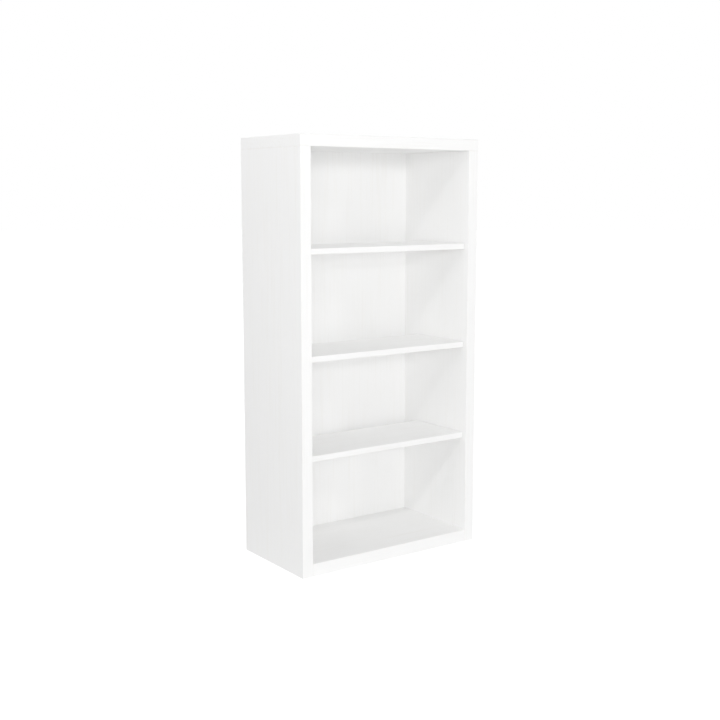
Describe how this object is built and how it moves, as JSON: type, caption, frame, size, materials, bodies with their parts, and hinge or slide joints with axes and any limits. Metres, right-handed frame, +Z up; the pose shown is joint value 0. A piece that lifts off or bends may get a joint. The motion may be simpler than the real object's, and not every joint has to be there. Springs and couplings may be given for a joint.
{
  "type": "miniature bookcase",
  "caption": "Tall open bookcase in miniature: a plain square-edged case with a closed back and thin loose shelves set back from its front.",
  "frame": {"origin": "middle of the footprint, on the surface that the bookcase stands on", "axes": "+Z up along the height, +X along the width to the right as seen from the open front, +Y from the open front towards the back"},
  "size_m": [0.0518, 0.0264, 0.1016],
  "materials": {
    "white_paint": "fine-grained wood under satin white paint",
    "back_paint": "thin wood sheet under a lighter coat of white paint",
    "brass_pin": "drawn brass wire, lightly brushed",
    "birch_dowel": "bare birch",
    "steel_brad": "bright steel, flat round heads"
  },
  "bodies": {
    "carcase": {"top_panel": "white_paint", "bottom_panel": "white_paint", "left_side_panel": "white_paint", "right_side_panel": "white_paint", "back_panel": "back_paint", "upper_shelf_pin_front_left": "brass_pin", "upper_shelf_pin_front_right": "brass_pin", "upper_shelf_pin_rear_left": "brass_pin", "upper_shelf_pin_rear_right": "brass_pin", "middle_shelf_pin_front_left": "brass_pin", "middle_shelf_pin_front_right": "brass_pin", "middle_shelf_pin_rear_left": "brass_pin", "middle_shelf_pin_rear_right": "brass_pin", "lower_shelf_pin_front_left": "brass_pin", "lower_shelf_pin_front_right": "brass_pin", "lower_shelf_pin_rear_left": "brass_pin", "lower_shelf_pin_rear_right": "brass_pin", "top_dowel_front_left": "birch_dowel", "top_dowel_front_right": "birch_dowel", "top_dowel_rear_left": "birch_dowel", "top_dowel_rear_right": "birch_dowel", "bottom_dowel_front_left": "birch_dowel", "bottom_dowel_front_right": "birch_dowel", "bottom_dowel_rear_left": "birch_dowel", "bottom_dowel_rear_right": "birch_dowel", "left_back_brads": "steel_brad", "right_back_brads": "steel_brad", "top_back_brads": "steel_brad", "bottom_back_brads": "steel_brad"},
    "upper_shelf": {"upper_shelf": "white_paint"},
    "middle_shelf": {"middle_shelf": "white_paint"},
    "lower_shelf": {"lower_shelf": "white_paint"}
  },
  "joints": [
    {"name": "upper_shelf_slide", "type": "slide", "parent": "carcase", "child": "upper_shelf", "axis": [0, -1, 0], "range_m": [0, 0.022]},
    {"name": "middle_shelf_slide", "type": "slide", "parent": "carcase", "child": "middle_shelf", "axis": [0, -1, 0], "range_m": [0, 0.022]},
    {"name": "lower_shelf_slide", "type": "slide", "parent": "carcase", "child": "lower_shelf", "axis": [0, -1, 0], "range_m": [0, 0.022]}
  ]
}
